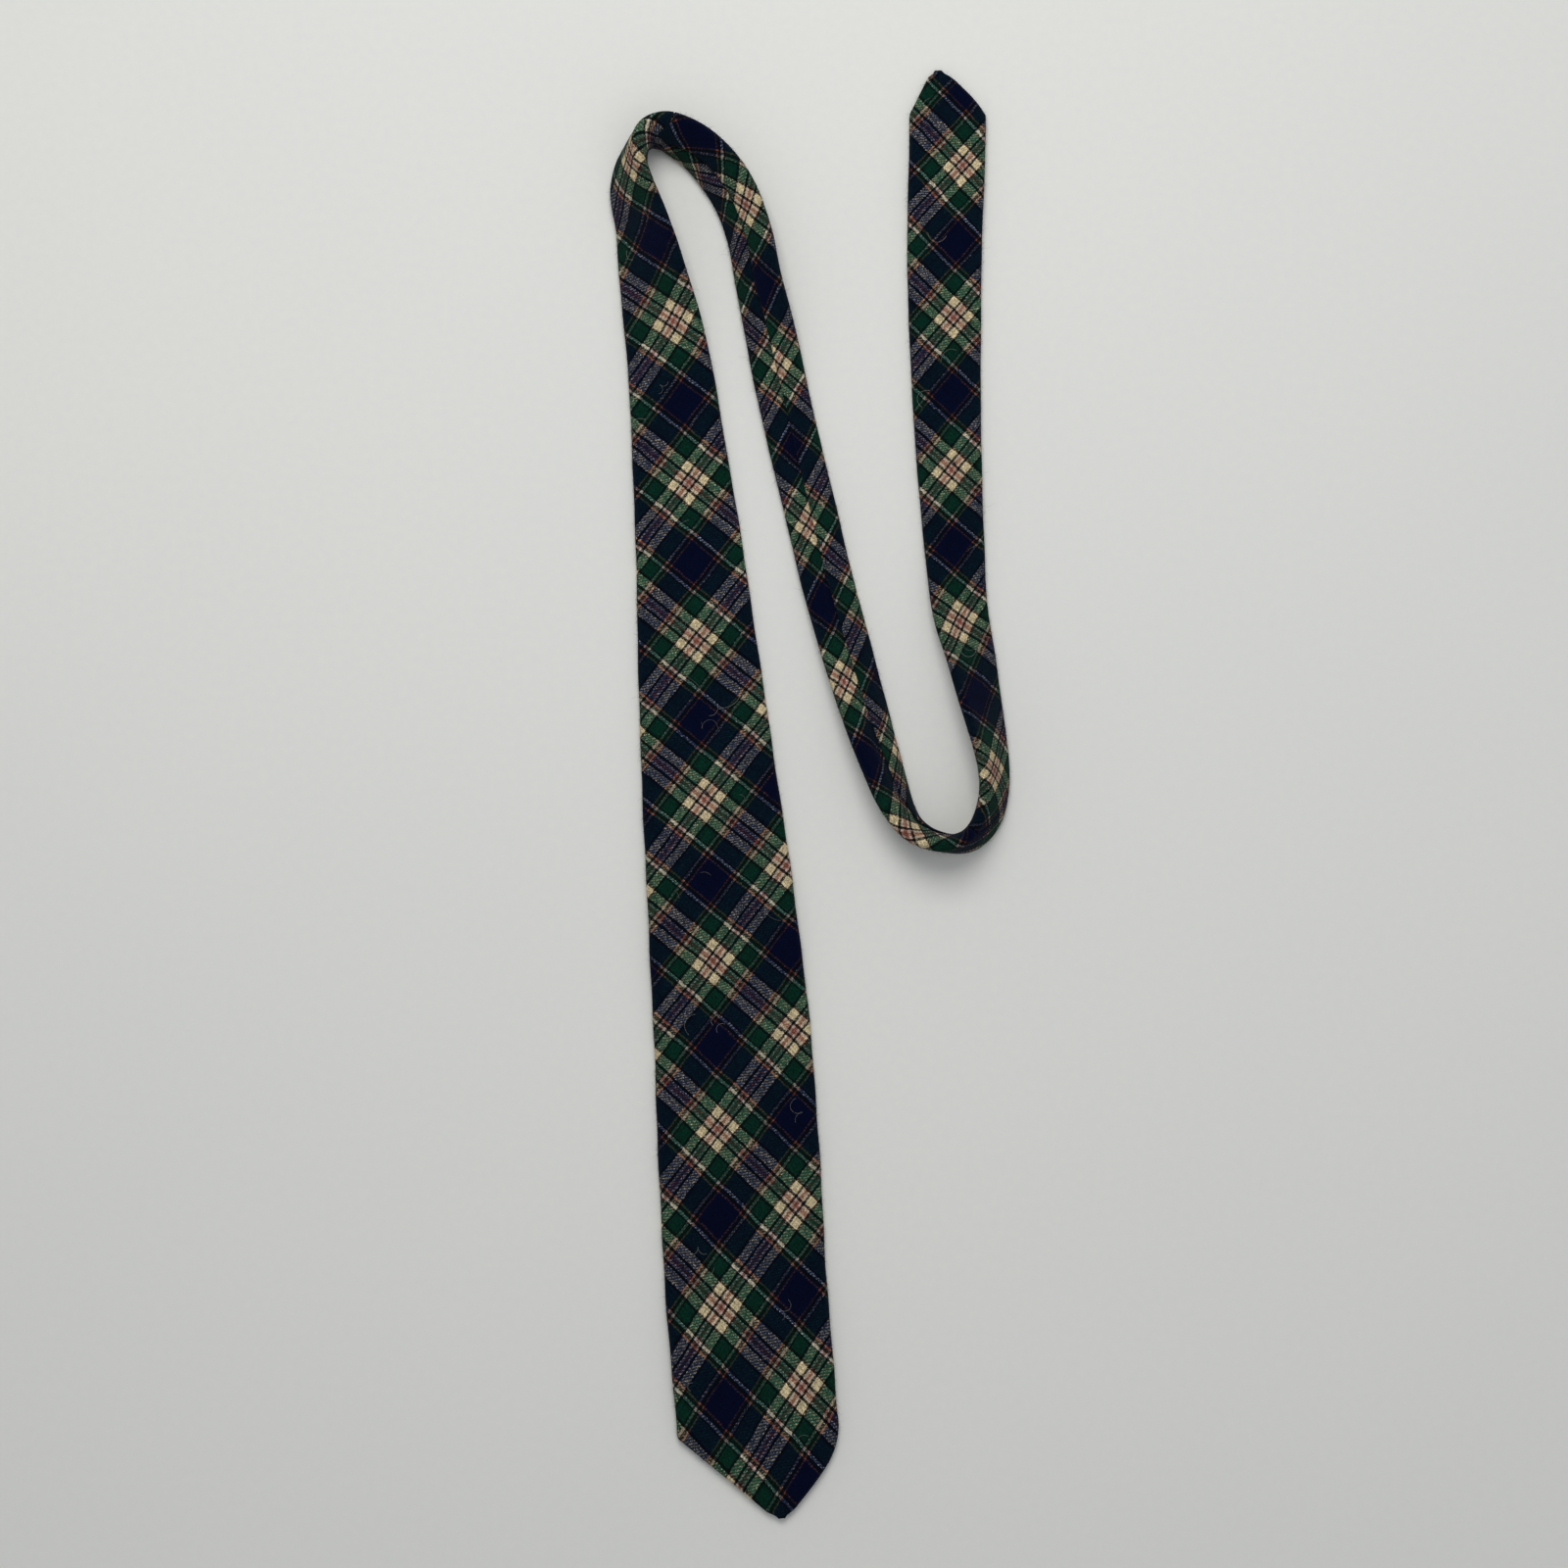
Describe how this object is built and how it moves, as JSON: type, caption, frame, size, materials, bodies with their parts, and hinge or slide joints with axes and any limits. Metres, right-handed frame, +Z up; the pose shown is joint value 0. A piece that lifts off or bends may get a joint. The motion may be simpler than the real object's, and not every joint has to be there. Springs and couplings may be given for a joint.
{
  "type": "necktie",
  "caption": "Tartan wool necktie laid out flat in a loose N, with a pointed wide blade, a narrow neck band and a pointed tail, lined and slip-stitched along the back.",
  "frame": {"origin": "middle of the laid tie's box, on the surface it lies on", "axes": "+Y along the length, from the wide blade's point towards the tail's point; +Z up off the surface; +X towards the tail's side"},
  "size_m": [0.1867, 0.6794, 0.0294],
  "materials": {
    "tartan": "brushed woollen twill in a dark green, navy and cream tartan, cut on the bias",
    "wool_canvas": "unbleached wool interlining",
    "tipping_satin": "plain navy lining satin",
    "thread": "dark polished sewing thread"
  },
  "bodies": {
    "front_blade": {"front_shell": "tartan", "front_interlining": "wool_canvas", "front_tipping": "tipping_satin", "front_bar_tack": "thread", "front_slip_stitch": "thread", "keeper_loop": "tartan", "keeper_stitch_right": "thread", "keeper_stitch_left": "thread"},
    "neck_band": {"neck_shell": "tartan", "neck_interlining": "wool_canvas", "neck_slip_stitch": "thread", "front_piecing_stitch": "thread", "tail_piecing_stitch": "thread"},
    "tail_blade": {"tail_shell": "tartan", "tail_interlining": "wool_canvas", "tail_tipping": "tipping_satin", "tail_bar_tack": "thread", "tail_slip_stitch": "thread"}
  },
  "joints": [
    {"name": "top_loop_bend", "type": "hinge", "parent": "front_blade", "child": "neck_band", "pos_m": [-0.04371, 0.29341, 0], "axis": [0, 0, 1], "range_deg": [-5, 30], "deforming": ["neck_shell", "neck_interlining", "neck_slip_stitch", "front_piecing_stitch", "tail_piecing_stitch"]},
    {"name": "bottom_loop_bend", "type": "hinge", "parent": "neck_band", "child": "tail_blade", "pos_m": [0.06619, -0.02359, 0], "axis": [0, 0, 1], "range_deg": [-30, 6], "deforming": ["neck_shell", "neck_interlining", "neck_slip_stitch", "front_piecing_stitch", "tail_piecing_stitch"]}
  ]
}
